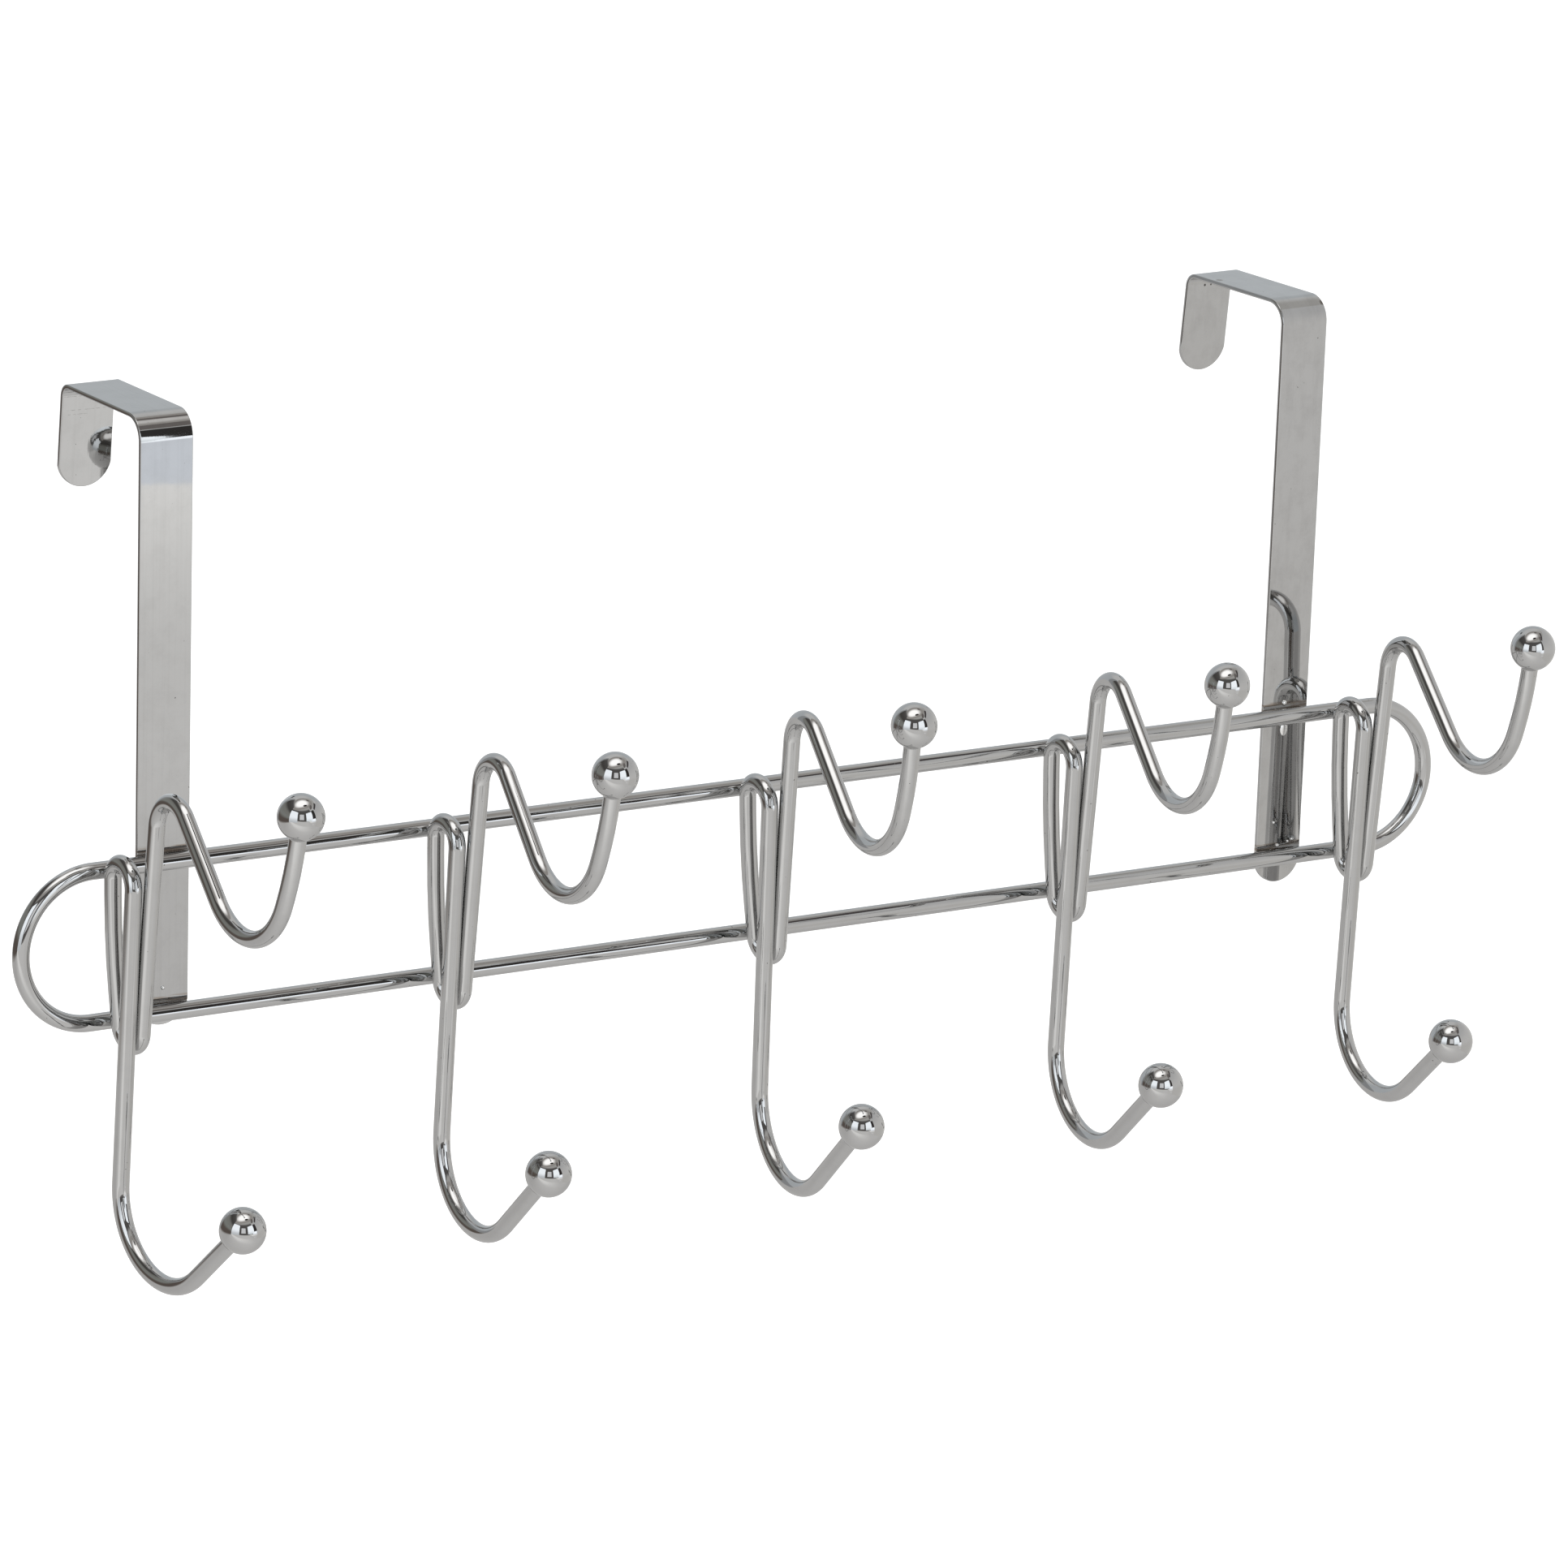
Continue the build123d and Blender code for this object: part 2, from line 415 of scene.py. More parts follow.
# what differs from hook to hook: mm to one side, degrees of lean, turn and drop, and mm of spare stem
HOOK_SIDES = (1.0, -0.3, -0.2, 0.4, 0.4)
HOOK_LEANS = (1.1, 1.2, -0.6, 0.8, 1.3)
UPPER_YAW = (1.0, -2.7, -6.5, -6.6, -4.0)
UPPER_DROOP = (0.6, 0.3, -2.2, -2.2, -1.9)
LOWER_YAW = (5.5, -1.5, -5.5, -4.2, -2.9)
LOWER_DROOP = (1.0, 0.2, 1.0, 0.9, 0.5)
LOWER_SPARE = (-1.9, 1.7, 4.2, 0.1, -1.6)


def turned(points, pivot, *turns):
    """Points turned about a pivot by each (angle in degrees, axis) in order."""
    points = np.array(points) - pivot
    for angle, axis in turns:
        points = points @ np.array(Matrix.Rotation(np.radians(angle), 3, axis)).T
    return points + pivot


def hook_corners(k):
    """Corners of hook k in metres, from the lower ball's centre to the upper ball's. Both arms drop about X
    and turn about Z where they leave the waist, and the whole hook leans about its welds."""
    bend, crest = np.array(LOWER_BEND), np.array(CREST)
    stem = np.array(LOWER_BALL) - bend
    ball = bend + stem * (1 + LOWER_SPARE[k] / np.linalg.norm(stem))
    lower = turned([ball], bend, (LOWER_DROOP[k], "X"), (LOWER_YAW[k], "Z"))
    upper = turned(UPPER_ARM, crest, (UPPER_DROOP[k], "X"), (UPPER_YAW[k], "Z"))
    corners = np.vstack([lower, bend, WAIST, crest, upper]) * MM
    corners = turned(corners, np.array([0, 0, WELD_Z - RAIL_Z]), (HOOK_LEANS[k], "Y"))
    x = (k - (HOOK_COUNT - 1) / 2) * HOOK_PITCH + HOOK_SHIFT + HOOK_SIDES[k] * MM
    return corners + np.array([x, BACK_RUN_Y, RAIL_Z])


hooks = [hook_corners(k) for k in range(HOOK_COUNT)]
print("lower balls at", [c[0].round(3).tolist() for c in hooks])

# %% Bend the five hooks
def ended_at_balls(corners, dish_steps=6):
    """The hook's path cut off at both balls, with rings that follow the ball's surface inwards to close the
    wire's end: at radius r the ball's surface is sqrt(seat^2 - r^2) from its centre."""
    seat = BALL_R + WELD_GAP
    reach = np.sqrt(seat**2 - WIRE_R**2)
    out_of_lower, out_of_upper = unit(corners[1] - corners[0]), unit(corners[-2] - corners[-1])
    cut = corners.copy()
    cut[0] += out_of_lower * reach
    cut[-1] += out_of_upper * reach
    line, heading = bent_path(cut, BEND_RADII)
    rims = np.linspace(0, WIRE_R, dish_steps + 1)[:-1]
    depth = np.sqrt(seat**2 - rims**2)[:, None]
    line = np.vstack([corners[0] + out_of_lower * depth, line, (corners[-1] + out_of_upper * depth)[::-1]])
    heading = np.pad(heading, ((dish_steps, dish_steps), (0, 0)), mode="edge")
    radius = np.r_[rims, np.full(len(line) - 2 * dish_steps, WIRE_R), rims[::-1]]
    return line, heading, radius


ALONG_DOOR = np.array([1.0, 0.0, 0.0])
for k, corners in enumerate(hooks):
    line, heading, radius = ended_at_balls(corners)
    hook = wire_skin(f"wire_hook_{k + 1}", line, heading, ALONG_DOOR, radius)
    fit(hook, f"hook_{k + 1}", wire_chrome)

# %% [markdown]
# ## The balls
# A ball closes each wire end so that nothing catches. It is a sphere on a grid of latitude and longitude,
# fine enough for its edge to stay round up close, and its normals are those of a true sphere.

# %% Ten balls
def ball_skin(name, centre, columns=96, rows=48):
    """A sphere: longitude round the columns, backwards so that faces look outwards, and latitude from pole
    to pole down the rows."""
    lat, lon = np.meshgrid(
        np.linspace(-np.pi / 2, np.pi / 2, rows + 1), np.linspace(0, FULL_TURN, columns + 1), indexing="ij")
    out = np.stack([np.cos(lat) * np.cos(lon), np.cos(lat) * np.sin(lon), np.sin(lat)], -1)[:, ::-1]
    out[[0, -1], :, :2] = 0
    uv = np.stack([lat, lon], -1) * BALL_R
    return skin(name, centre + BALL_R * out, out, uv)


for k, corners in enumerate(hooks):
    for arm, centre in (("lower", corners[0]), ("upper", corners[-1])):
        ball = ball_skin(f"end_ball_{arm}_{k + 1}", centre)
        fit(ball, f"ball_{arm}_{k + 1}", ball_chrome)

# %% [markdown]
# ## The necks
# Where a wire is joined to its ball, a little metal runs into the corner between them. Seen from the side
# that is a small hollow arc that touches both, and turning the arc about the wire gives the whole neck. It
# draws a thin dark line under each ball. A ring that is hidden in the corner makes it a closed shape.

# %% Ten necks
NECK_R = 0.5 * MM
NECK_SUNK = 0.25 * MM
ASIDE = (0.0, 0.6, 0.8)  # a direction that no stem has
INTO_CORNER = 1.25 * np.pi


def neck_skin(name, ball, way, steps=8, sides=48):
    """A hollow ring round a stem that leaves a ball's centre in the direction way. The arc's middle is
    WIRE_R + NECK_R from the stem and BALL_R + NECK_R from the ball's centre, and f turns from the stem to
    the ball: a point is NECK_R sin f back along the stem from there, and NECK_R cos f nearer to it. One more
    ring, sunk into the corner between stem and ball, closes the neck where it is hidden."""
    apart = WIRE_R + NECK_R
    along = np.sqrt((BALL_R + NECK_R) ** 2 - apart**2)
    corner = np.sqrt(BALL_R**2 - WIRE_R**2)
    f = np.linspace(0, np.arcsin(along / (BALL_R + NECK_R)), steps + 1)
    up_stem = np.r_[along - NECK_R * np.sin(f), corner - NECK_SUNK, along][:, None, None]
    off_stem = np.r_[apart - NECK_R * np.cos(f), WIRE_R - NECK_SUNK, WIRE_R][:, None, None]
    aim = np.r_[f, INTO_CORNER, 0][:, None, None]
    turn = np.linspace(FULL_TURN, 0, sides + 1)[:, None]
    first = unit(np.cross(way, ASIDE))
    ring = first * np.cos(turn) + np.cross(-way, first) * np.sin(turn)
    points = ball + way * up_stem + ring * off_stem
    uv = np.stack(np.broadcast_arrays(aim[..., 0] * NECK_R, turn[:, 0] / FULL_TURN), -1)
    return skin(name, points, way * np.sin(aim) + ring * np.cos(aim), uv)


for k, corners in enumerate(hooks):
    for arm, ball, bend in (("lower", corners[0], corners[1]), ("upper", corners[-1], corners[-2])):
        fit(neck_skin(f"neck_{arm}_{k + 1}", ball, unit(bend - ball)), None, wire_chrome)

# %% [markdown]
# ## The straps
# Each strap is a flat strip bent twice, with a long leg in front of the door, a short one behind it that
# splays away, and a nearly half round end on both. The strip's outline is offset inwards along its own
# normal to round its edges, so the rounding goes round the ends as well.

# %% The strip's path
EDGE_R = 0.25 * MM
END_R = 8.1 * MM
STRAP_X = 371.2 * MM / 2
STRAP_LEANS = (-0.65, 0.0)  # degrees
FRONT_LEGS = (169.5 * MM, 173.5 * MM)
DOOR_GAP = 44.1 * MM
BACK_LEG = 30.2 * MM
SPLAY = np.radians(5.2)
STRAP_BENDS = np.array([7.2 * MM, 4.2 * MM]) - STRAP_T / 2


def strap_line(front_leg):
    """The path of the strip's middle, in the plane of Y and Z, and its headings."""
    mid = STRAP_T / 2
    corner = DOOR_GAP + mid * (1 - np.sin(SPLAY)) / np.cos(SPLAY)
    leg = BACK_LEG - mid / np.cos(SPLAY)
    corners = np.array([
        (0, -mid, STRAP_T - front_leg), (0, -mid, mid), (0, corner, mid),
        (0, corner + leg * np.sin(SPLAY), mid - leg * np.cos(SPLAY))])
    return bent_path(corners, STRAP_BENDS, bend_step=np.radians(1.5))


print("strips", [round(lengths_along(strap_line(leg)[0])[-1] / MM, 1) for leg in FRONT_LEGS], "mm long")

# %% The strip's section and outline
END_ROOM = 1.02  # how far past a rounded end the next station has to be


def strip_section(face_steps=10, edge_steps=6):
    """Columns round the strip: the front face from side to side, the far edge, the back face and the near
    edge. Each has a share of the width, and a tilt that turns from 0 in front to half a circle behind."""
    face = np.linspace(-1, 1, face_steps + 1)
    edge = np.ones(2 * edge_steps + 1)
    quarter = np.linspace(0, np.pi / 2, edge_steps + 1)
    round_over = np.r_[quarter, np.pi - quarter[:-1][::-1]]
    level = np.zeros(face_steps + 1)
    share = np.r_[face, edge, -face, -edge]
    return share, np.r_[level, round_over, level + np.pi, round_over + np.pi]


def strip_outline(length, inset, end_steps=24):
    """Stations along the strip for columns with an inset e from its outline: how far along and how wide each
    point is, and the angle at which the outline faces. Near an end, f turns from 0 at the tip to where the
    arc meets the sides: a point is END_R - (END_R - e) cos f from the tip and (END_R - e) sin f sideways."""
    widest = np.arcsin(STRAP_W / 2 / END_R)
    f = np.linspace(0, widest, end_steps)
    depth = END_R * (1 - np.cos(widest)) * END_ROOM
    middle = length[(length > depth) & (length < length[-1] - depth)]
    tip = END_R - (END_R - inset) * np.cos(f)[:, None]
    half = (END_R - inset) * np.sin(f)[:, None]
    straight = np.broadcast_to(middle[:, None], (len(middle), len(inset)))
    flat = np.broadcast_to(STRAP_W / 2 - inset, straight.shape)
    along = np.vstack([tip, straight, length[-1] - tip[::-1]])
    aim = np.r_[f, np.full(len(middle), np.pi / 2), np.pi - f[::-1]]
    return along, np.vstack([half, flat, half[::-1]]), aim[:, None]


print("strip section of", len(strip_section()[0]), "columns")

# %% The strip's surface
def strap_skin(name, side):
    """Stations along the strip by columns round its section. A point is the place on the path, plus its
    width sideways and its height above the strip's middle, square to the path."""
    line, heading = strap_line(FRONT_LEGS[side])
    length = lengths_along(line)
    share, tilt = strip_section()
    lean = np.abs(np.sin(tilt))
    height = np.cos(tilt) * EDGE_R + np.sign(np.round(np.cos(tilt), 9)) * (STRAP_T / 2 - EDGE_R)
    along, wide, aim = strip_outline(length, EDGE_R * (1 - lean))
    wide = wide * share
    place = np.stack([np.interp(along, length, line[:, i]) for i in range(3)], -1)
    way = unit(np.stack([np.interp(along, length, heading[:, i]) for i in range(3)], -1))
    front = np.cross(way, ALONG_DOOR)
    out_side = np.sign(share) * np.sin(aim)
    normals = front * np.cos(tilt)[:, None] + (
        ALONG_DOOR * (out_side * lean)[..., None] - way * (np.cos(aim) * lean)[..., None])
    points = place + front * height[:, None] + ALONG_DOOR * wide[..., None]
    return skin(name, *welded(side, points, normals), np.stack([along, wide], -1))


def welded(side, points, normals):
    """A strap's points and normals, leaned and turned about the middle of its welds, with its nearer edge at
    the rails."""
    turn, lean = np.radians(STRAP_TURNS[side]), np.radians(STRAP_LEANS[side])
    askew = np.array(Matrix.Rotation(turn, 3, "Z") @ Matrix.Rotation(lean, 3, "Y")).T
    edge_to_middle = STRAP_W / 2 * np.sin(abs(turn))
    weld = np.array([(2 * side - 1) * STRAP_X, RAIL_Y + WIRE_R + WELD_GAP + edge_to_middle, WELD_Z])
    return (points + np.array([0, STRAP_T, -WELD_Z])) @ askew + weld, normals @ askew


print("straps", 2 * STRAP_X / MM, "mm apart")

# %% [markdown]
# ## Weld colour, spots and drops
# Welding heat leaves a brown streaky tint just above each rail, and small drops of metal that spat out and
# set on the strap. The plating has a few dark spots of its own as well. Tint and spots only change the
# colour, so they belong to the finish. The drops stand up and catch the light, so each is a small ellipsoid,
# half sunk into the strap.

# %% The straps' marks
HEAT_TALL, HEAT_SOFT = 3.8 * MM, 1.2 * MM  # height of the tint above a rail, and its soft edge
HEAT_MOST = 0.60
HEAT_STREAKS = (140, 140, 1500)  # cells to the metre along X, Y and Z
BACK_LEG_Y = (42 * MM, 43 * MM)  # where scratches start and are full
PATCH_SCALE = 700
SCRATCH_HALF, SCRATCH_SOFT = 0.05 * MM, 0.15 * MM  # half a scratch's thickness, and its soft edge
SCRATCH_END = 1 * MM  # how softly it ends
SCRATCH_MOST = 0.5
SPOT_CORE, SPOT_RIM = 0.5, 1.1  # shares of a spot's size: dark inside the first, clean past the second
SPOTS = [  # x, y, z and size in mm
    (178.2, 31.4, 1.3, 1.3), (193.2, 1.2, -0.6, 1.2), (182.1, 43.95, -3.0, 0.45),
    (184.3, 44.0, -3.0, 0.35), (-187.0, 43.9, -2.6, 0.4)]
SCRATCHES = [(-190.3, 3.4, -3.0), (-186.7, 5.8, -6.9), (-189.5, 3.0, -8.1)]  # middle, half length, z in mm


def strap_marks(bench, place):
    """The amounts of weld colour and of dark marks. Weld colour is a streaky band above each rail. A spot
    fades with the distance from its middle. The scratches are thin level lines on the left back leg."""
    x, y, height = bench.split(place)
    streak = bench.noise(bench.stretch(place, HEAT_STREAKS), scale=1, detail=3).step(0.40, 0.58)
    bands = [(height - rail).inside(0, HEAT_TALL, HEAT_SOFT) for rail in (RAIL_Z, RAIL_Z - RAIL_SPACING)]
    on_back_leg = y.step(*BACK_LEG_Y) * bench.noise(place, PATCH_SCALE, detail=2).step(0.40, 0.60)
    dark = []
    for middle, half, z in SCRATCHES:
        across = (x - middle * MM).inside(-half * MM, half * MM, SCRATCH_END)
        level = (height - z * MM).inside(-SCRATCH_HALF, SCRATCH_HALF, SCRATCH_SOFT)
        dark.append(across * level * on_back_leg * SCRATCH_MOST)
    for *spot, size in SPOTS:
        far = bench.node(
            "ShaderNodeVectorMath", {"operation": "DISTANCE"},
            {0: place, 1: np.array(spot) * MM}, out="Value")
        dark.append(1 - far.step(SPOT_CORE * size * MM, SPOT_RIM * size * MM))
    return (bands[0] + bands[1]) * streak * HEAT_MOST, reduce(Value.most, dark)


print(len(SPOTS), "spots and", len(SCRATCHES), "scratches for the straps")

# %% Two straps
strap_finishes = [
    chrome("left_strap_chrome", lines=(9, 700), specks=0.01, roughness=0.018, ripple=0.005, mottle=0.55,
           marks=strap_marks),
    chrome("right_strap_chrome", lines=(60, 300), specks=0.0, roughness=0.035, ripple=0.002, mottle=0.75,
           marks=strap_marks)]
for side, name in enumerate(("left", "right")):
    fit(strap_skin(f"flat_strap_{name}", side), f"strap_{name}", strap_finishes[side])

# %% Drops of weld metal
WELD_METAL = (0.90, 0.90, 0.89)
weld_finish = chrome(
    "weld_metal", lines=(400, 3), specks=0.0, roughness=0.18, ripple=0.02, mottle=0.1, metal=WELD_METAL)
DROPS = [  # which strap, then in mm: place across and up it, and half sizes across, up and out
    (0, 0.2, -157.8, 0.60, 0.60, 0.60),
    (1, -0.5, -161.2, 0.60, 0.60, 0.55),
    (1, 4.9, -159.9, 0.60, 0.40, 0.40),
    (1, 3.3, -160.4, 0.40, 0.40, 0.35),
    (1, -2.2, -154.1, 0.45, 0.45, 0.35),
    (1, -0.5, -118.3, 0.80, 0.90, 0.60),
    (1, -0.2, -126.2, 1.30, 2.00, 0.30)]


def drop_skin(name, side, across, up, wide, tall, high, steps=16, sides=24):
    """An ellipsoid, half sunk into a strap's front, whose three half sizes are wide, tall and high: a sphere
    with f from pole to pole and a turn round it, stretched. Its normals are the sphere's, shrunk as much."""
    f = np.linspace(-np.pi / 2, np.pi / 2, steps + 1)[:, None]
    turn = np.linspace(FULL_TURN, 0, sides + 1)
    out = np.stack(np.broadcast_arrays(np.cos(f) * np.cos(turn), -np.sin(f), np.cos(f) * np.sin(turn)), -1)
    sizes = np.array([wide, high, tall]) * MM
    points = np.array([across * MM, -STRAP_T, up * MM]) + out * sizes
    uv = np.stack(np.broadcast_arrays(f * sizes[0], turn * sizes[0]), -1)
    return skin(name, *welded(side, points, unit(out / sizes)), uv)


for number, drop in enumerate(DROPS):
    fit(drop_skin(f"weld_drop_{number + 1}", *drop), None, weld_finish)

# %% [markdown]
# ## The studio
# Chrome has no shade of its own, so the room is what is seen in it. A photographer builds that room from
# cards: a big round soft light overhead, upright soft lights in front with dark gaps between them, a dark
# corner on the left and a pale wall on the right. All stand at real distances, so that what is seen in the
# metal changes along the rack, as it does in a small room. A painted sky alone would look the same in every
# ball. The cards show only in metal and glass, and two lamps in the same places light everything else.

# %% Two lamps
def soft_light(name, centre, towards, size, level, shape="RECTANGLE"):
    """An area lamp whose face has the given level. Its power is level times its area times pi."""
    lamp = bpy.data.lights.new(name, "AREA")
    lamp.shape = shape
    lamp.size, lamp.size_y = size
    area = size[0] * size[1] * (np.pi / 4 if shape == "DISK" else 1)
    lamp.energy = level * area * np.pi
    light = bpy.data.objects.new(name, lamp)
    light.location = centre
    light.rotation_euler = Vector(towards).to_track_quat("-Z", "Y").to_euler()
    light.visible_camera = light.visible_glossy = False
    bpy.context.scene.collection.objects.link(light)
    print(name, "level", level, "power", round(lamp.energy, 2))


LAMP_LEVEL = 1.5
soft_light("overhead_lamp", (-0.3, -0.4, 1.5), (0, 0, -1), (1.4, 1.4), LAMP_LEVEL, "DISK")
soft_light("window_lamp", (0.067, -1.387, 0.27), (-0.341, 0.94, 0), (0.76, 0.96), LAMP_LEVEL)

# %% [markdown]
# ## Cards round the rack
# Each card is a plain surface with a glow of its own. A lamp can't do this, because its light is added to
# whatever is behind it, while a card hides that. A card's glow changes smoothly from colour to colour,
# upwards for a standing card and outwards from the middle for the big round one, as real soft lights fade
# to their edges.

# %% Cards that show only in the metal
def on_stage(name, points, material):
    """A surface of the stage from a grid of points, of shape (rows, columns, 3)."""
    mesh = bpy.data.meshes.new(name)
    mesh.from_pydata(points.reshape(-1, 3).tolist(), [], grid_faces(*points.shape[:2]).tolist())
    mesh.materials.append(material)
    stand = bpy.data.objects.new(name, mesh)
    bpy.context.scene.collection.objects.link(stand)
    print(name, "from", points.min((0, 1)).round(2), "to", points.max((0, 1)).round(2))
    return stand


def card(name, points, colour, *changes, middle=None, reach=(1, 1)):
    """A glowing card. Each change (start, end, colour) leads smoothly to another colour between two places.
    The place is a height, or, if there is a middle (x, y), the distance from it as a share of the reach."""
    glow, bench = new_finish(name)
    x, y, place = bench.split(bench.node("ShaderNodeTexCoord", out="Object"))
    if middle:
        x, y = (x - middle[0]) / reach[0], (y - middle[1]) / reach[1]
        place = (x * x + y * y) ** 0.5
    for start, end, reached in changes:
        colour = bench.mix(place.step(start, end), colour, reached)
    light = bench.node("ShaderNodeEmission", {}, {"Color": bench.colour(colour)})
    bench.node("ShaderNodeOutputMaterial", {}, {"Surface": light})
    stand = on_stage(name, points, glow)
    stand.visible_camera = stand.visible_diffuse = stand.visible_shadow = False


def standing(low, high, *plan):
    """A wall over the points (x, y) of a plan, from one height to another."""
    plan = np.array(plan)
    return np.stack([np.c_[plan, np.full(len(plan), z)] for z in (low, high)])


def lying(middle, reach, height, columns=64, hub=0.001):
    """An oval disc over the point (x, y) of the plan, between a tiny ring, the hub, and its edge. reach is
    its half sizes."""
    turn = np.linspace(0, FULL_TURN, columns + 1)
    ring = np.stack([reach[0] * np.cos(turn), reach[1] * np.sin(turn), 0 * turn], -1)
    return np.array([*middle, height]) + np.array([hub, 1])[:, None, None] * ring


print("card stands ready")

# %% The soft lights
OVERHEAD = (-0.30, -0.28)
card("overhead", lying(OVERHEAD, (1.36, 0.88), 1.40), (1.90, 1.88, 1.86),
     (0.50, 1.25, (0.46, 0.435, 0.41)), middle=OVERHEAD, reach=(0.82, 0.55))
card("lamp_head", lying((-0.06, -0.61), (0.21, 0.12), 1.20), (0.05, 0.045, 0.04))
card("window_right", standing(-0.22, 0.75, (-0.29, -1.517), (0.424, -1.257)), (1.22, 1.30, 1.36),
     (-0.2, 0.15, (1.60, 1.68, 1.76)))
card("window_left", standing(-0.27, 0.60, (-1.099, -0.142), (-0.891, -0.748)), (0.86, 0.90, 0.94),
     (-0.25, 0.15, (1.56, 1.64, 1.72)))
card("far_window", standing(0.0, 1.38, (-1.90, -2.43), (-0.98, -2.95)), (0.98, 0.99, 1.01))
card("low_light", standing(-0.347, -0.05, (0.30, -1.30), (0.79, -1.14)), (1.00, 1.05, 1.13),
     (-0.33, -0.22, (1.72, 1.80, 1.90)))

# %% The walls and the dark places between
FLOOR_Z = -0.62
BEAM = (0.22, 0.20, 0.19)
card("pale_wall", standing(FLOOR_Z, 0.61, (0.44, -0.73), (0.56, -0.58), (0.75, -0.10), (0.90, 0.50)),
     (0.75, 0.735, 0.71), (-0.33, -0.16, (0.80, 0.79, 0.775)), (-0.16, 0.45, (0.67, 0.67, 0.67)))
card("dark_strip", standing(0.42, 0.58, (0.46, -0.60), (0.50, -0.08)), (0.10, 0.09, 0.09))
card("dark_beam", lying((0.50, 0.05), (0.14, 0.11), 1.30), BEAM)
card("dark_shelf", lying((0.66, -1.00), (0.20, 0.42), 1.30), BEAM)
card("dim_corner", standing(-0.34, 1.30, (-0.30, 0.72), (-0.40, 0.616)), (0.38, 0.39, 0.40))
card("dark_corner", standing(-0.34, 1.30, (-0.40, 0.616), (-1.11, -0.13)), (0.55, 0.53, 0.51),
     (-0.34, -0.26, (0.15, 0.125, 0.11)), (-0.15, 0.00, (0.31, 0.32, 0.30)), (0.00, 0.20, (0.29, 0.29, 0.27)),
     (0.20, 0.45, (0.09, 0.085, 0.08)), (0.45, 0.95, (0.12, 0.115, 0.11)), (0.95, 1.30, (0.40, 0.39, 0.38)))

# %% [markdown]
# ## The room
# Behind the cards is the rest of the room. It is far away, so it may be painted by direction alone: pale all
# round, with a cooler back wall, a dull ceiling, and dark places in front. The camera sees none of it. A ray
# that goes straight from the camera to the backdrop finds plain white.

# %% The room
PALE = (0.78, 0.78, 0.775)
BACK_WALL = (0.60, 0.633, 0.657)
CEILING = (0.56, 0.55, 0.53)
FRONT = (0.13, 0.125, 0.12)
DARK_GAP = (0.05, 0.047, 0.045)
WHITE = (1.0, 1.0, 1.0)
FILL = (0.8, 0.8, 0.8)
DEGREES = float(np.degrees(1))
ROOM_PARTS = [  # bearings from and to with a soft edge, heights from and to with a soft edge, colour
    ((-110, 120, 40), (42, 68, 10), CEILING),
    ((-95, 24, 4), (-6, 45, 8), FRONT),
    ((20, 60, 4), (-4, 36, 4), DARK_GAP)]


def room(bench):
    """The room's colour in each direction: pale, with each other part laid over it. The bearing is 0 straight
    out of the door and grows to the right, and the height is from the horizon, both in degrees."""
    x, y, z = bench.split(bench.node("ShaderNodeTexCoord", out="Generated"))
    bearing = x.math("ARCTAN2", y * -1) * DEGREES
    height = z.math("ARCSINE") * DEGREES
    colour = bench.mix(abs(bearing).step(100, 125) * height.inside(-10, 40, 20), PALE, BACK_WALL)
    for bearings, heights, part in ROOM_PARTS:
        colour = bench.mix(bearing.inside(*bearings) * height.inside(*heights), colour, part)
    return colour


def ray_kinds(bench):
    """Three values that are 1 for a camera ray, a ray mirrored in metal and a ray through glass."""
    kinds = bench.node("ShaderNodeLightPath").socket.node.outputs
    return [Value(bench, kinds[f"Is {kind} Ray"]) for kind in ("Camera", "Glossy", "Transmission")]


world = bpy.data.worlds.new("studio")
bpy.context.scene.world = world
world.use_nodes = True
bench = Bench(world.node_tree)
straight, mirrored, through = ray_kinds(bench)
backdrop = bench.mix(straight, room(bench), WHITE)
sky = bench.mix(straight + mirrored + through, FILL, backdrop)
shown = bench.node("ShaderNodeBackground", {}, {"Color": sky, "Strength": 1.0})
bench.node("ShaderNodeOutputWorld", {}, {"Surface": shown})
print("room laid out, with a fill of", FILL[0])

# %% [markdown]
# ## The floor
# The rack hangs in the air, as it does on a door, over a sheet of plain pale paper. The paper is matt and
# keeps the soft shadow. For the camera it is lifted to white. In the metal it shows painted light and shade
# instead: a glow that is brightest in front on the left and far out on the right, where the lights would
# reach it, with painted shade behind. Far in front it ends, and the dark room follows.

# %% Painted light and shade on the floor, as seen in the metal
def paper_light_and_shade(bench):
    """Two values over the floor: its painted light and shade, from 0 for shaded to 1 for lit, and 1 past the
    paper's end. All places are in metres, x to the right and out from the door."""
    x, y, _ = bench.split(bench.node("ShaderNodeTexCoord", out="Object"))
    out = y * -1
    # Painted light and shade on the paper: a base level that is dimmer behind and to the right, painted pools
    # of light near left, far right and below the low light, and a painted shadow of the pale wall at the
    # side.
    shade = 0.41 - 0.33 * (1 - out.step(-0.45, 0.55)) - 0.10 * x.step(-0.2, 0.35)  # duller behind
    left = (1 - x.step(-0.9, 0.3)) * (out.step(0.30, 0.65) - out.step(0.85, 1.15)) * 0.44  # near left
    right = x.step(0.35, 0.7) * (out.step(1.90, 2.45) * 0.62 + out.step(1.55, 1.80) * 0.18)  # far right
    lit_patch = x.inside(0.40, 0.62, 0.10) * out.inside(1.15, 1.36, 0.08) * 0.30  # below the low light
    side = x.step(0.7, 1.2) * (1 - out.step(0.0, 0.8)) * 0.25  # in the shade of the pale wall
    past = out.step(4.2, 4.8) * (1 - x.step(0.05, 0.25))  # where the paper has ended
    return shade + left + right + lit_patch - side, past


print("floor glow ready, for a floor at", FLOOR_Z, "m")

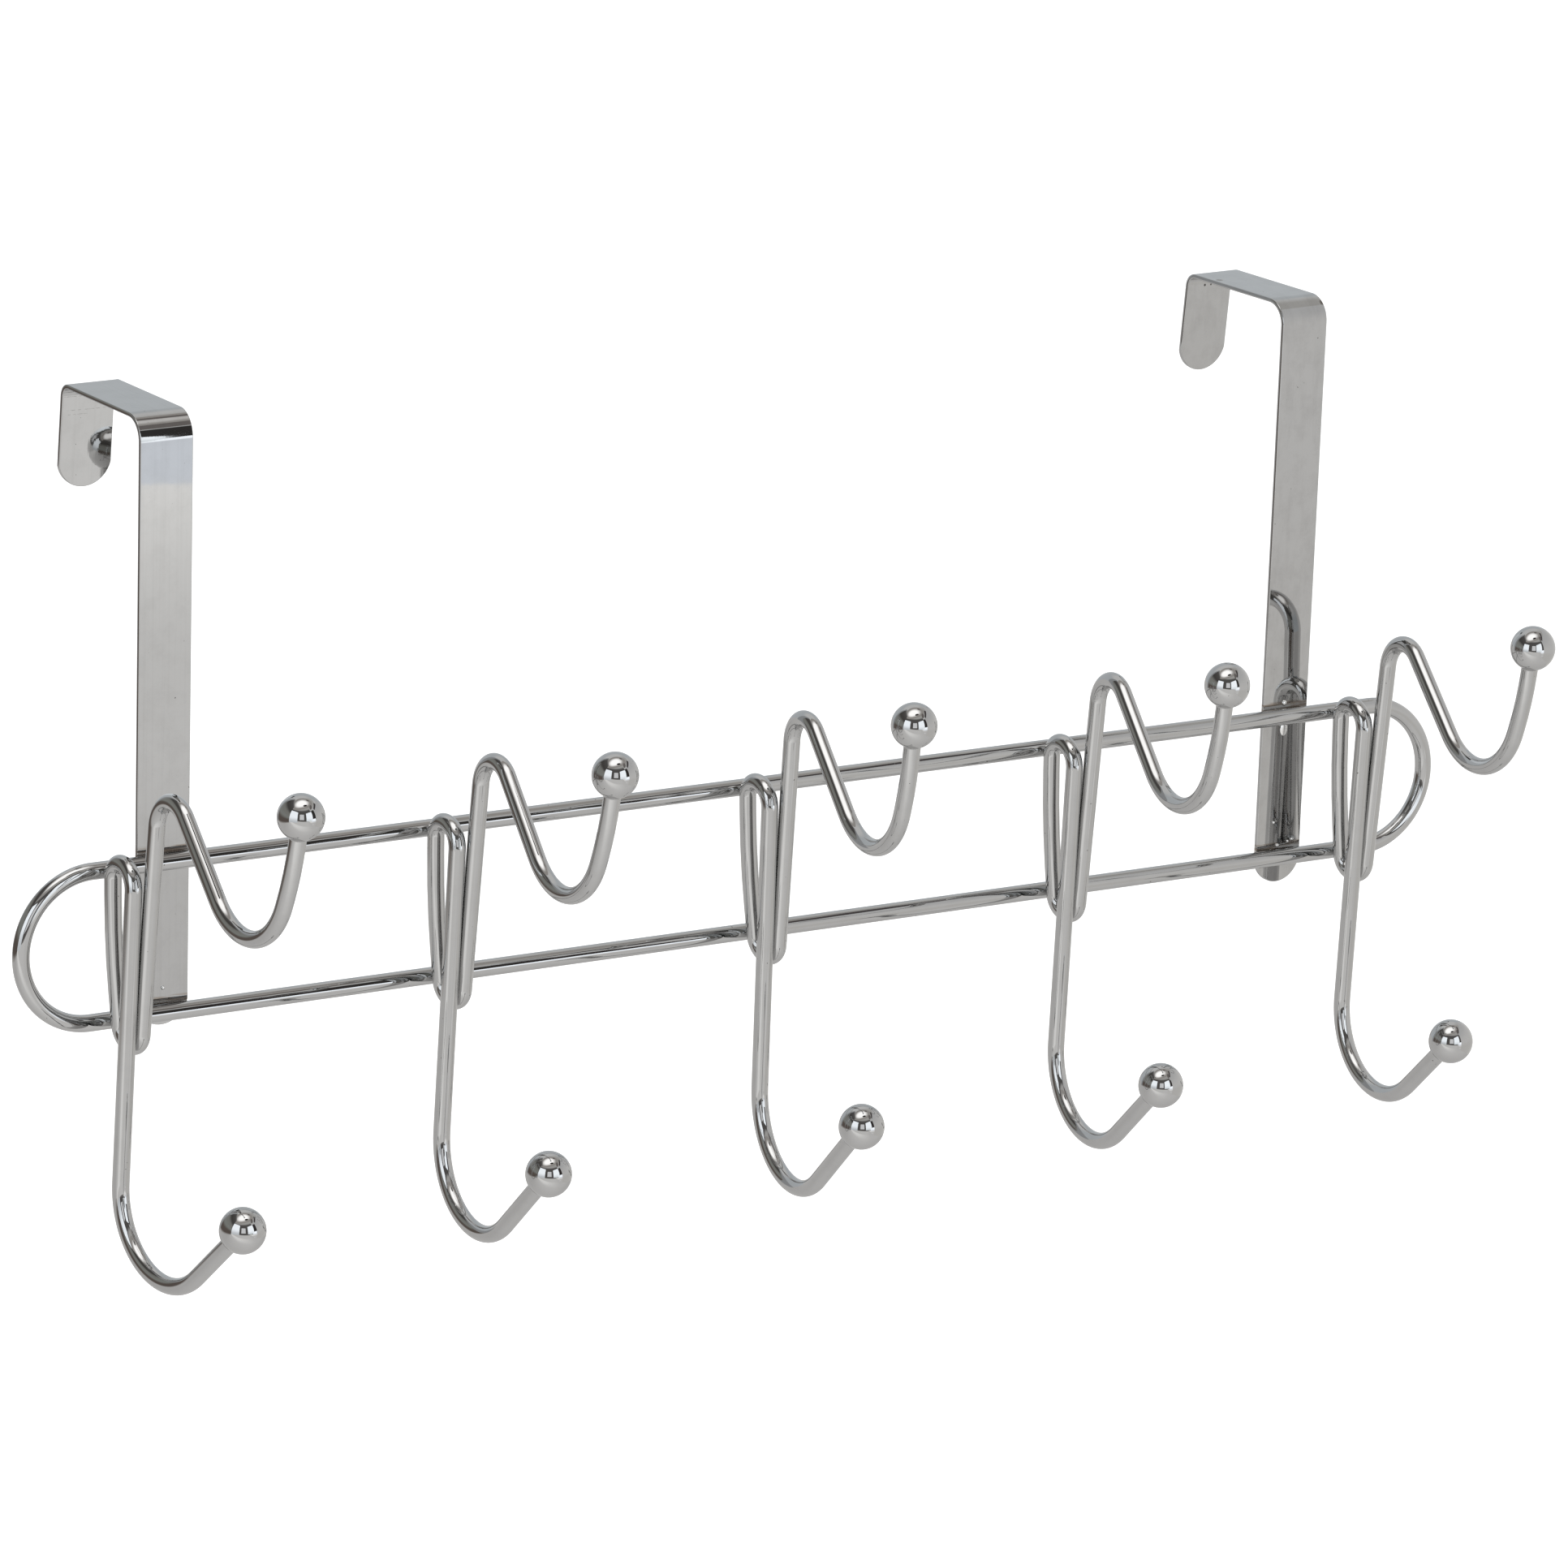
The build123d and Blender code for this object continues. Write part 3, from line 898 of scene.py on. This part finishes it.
# %% A pale floor
FLOOR_HALF = 8.0
FLOOR_PAPER = (0.8, 0.8, 0.8)
NO_LIFT, CAMERA_LIFT = (0, 0, 0), (0.6, 0.6, 0.6)
# the paper's painted shade and painted light, as seen in the metal
PAPER_SHADED, PAPER_LIT = (0.61, 0.60, 0.59), (1.21, 1.20, 1.18)
PAST_PAPER = (0.24, 0.23, 0.22)


def floor_paper():
    """Matt paper with a lift for the camera. Rays mirrored in metal see its glow of painted light and shade.
    """
    paper, bench = new_finish("floor_paper")
    straight, mirrored, through = ray_kinds(bench)
    matt = bench.node(
        "ShaderNodeBsdfPrincipled", {},
        {"Base Color": bench.colour(FLOOR_PAPER), "Roughness": 1.0, "Specular IOR Level": 0.0,
         "Emission Color": bench.mix(straight, NO_LIFT, CAMERA_LIFT), "Emission Strength": 1.0})
    bright, past = paper_light_and_shade(bench)
    colour = bench.mix(past, bench.mix(bright, PAPER_SHADED, PAPER_LIT), PAST_PAPER)
    glow = bench.node("ShaderNodeEmission", {}, {"Color": colour})
    surface = bench.node("ShaderNodeMixShader", {}, {"Fac": mirrored + through, 1: matt, 2: glow})
    bench.node("ShaderNodeOutputMaterial", {}, {"Surface": surface})
    return paper


edge = np.array([-FLOOR_HALF, FLOOR_HALF])
floor_points = np.stack([np.c_[edge, np.full(2, y), np.full(2, FLOOR_Z)] for y in edge])
on_stage("floor", floor_points, floor_paper())

# %% [markdown]
# ## The camera
# A long lens from the left and a little above, turned slightly about its own axis. Its three directions come
# from two angles and that turn, and they are the first three columns of its matrix. The fourth is its place.

# %% Camera
AZIMUTH, ELEVATION, ROLL = np.radians([-33.033, 14.873, 2.148])
CAMERA_AT = (-1.35091, -2.09651, 0.5451)
FOCAL_PIXELS, FRAME_PIXELS = 11350.08, 1932
back = np.array([
    np.sin(AZIMUTH) * np.cos(ELEVATION), -np.cos(AZIMUTH) * np.cos(ELEVATION), np.sin(ELEVATION)])
level = np.array([np.cos(AZIMUTH), np.sin(AZIMUTH), 0.0])
right = np.cos(ROLL) * level + np.sin(ROLL) * np.cross(back, level)
up = np.cross(back, right)
lens = bpy.data.cameras.new("camera")
lens.sensor_width = 36
lens.lens = FOCAL_PIXELS / FRAME_PIXELS * lens.sensor_width
lens.shift_x = 0.00259
lens.shift_y = -0.00986
lens.clip_end = 100
camera = bpy.data.objects.new("camera", lens)
camera.matrix_world = Matrix(np.vstack([np.c_[right, up, back, CAMERA_AT], (0, 0, 0, 1)]).tolist())
bpy.context.scene.collection.objects.link(camera)
bpy.context.scene.camera = camera
bpy.context.scene.view_settings.view_transform = "Standard"
print("camera", [round(float(v), 5) for v in (*right, *up)], "lens", round(lens.lens, 2))
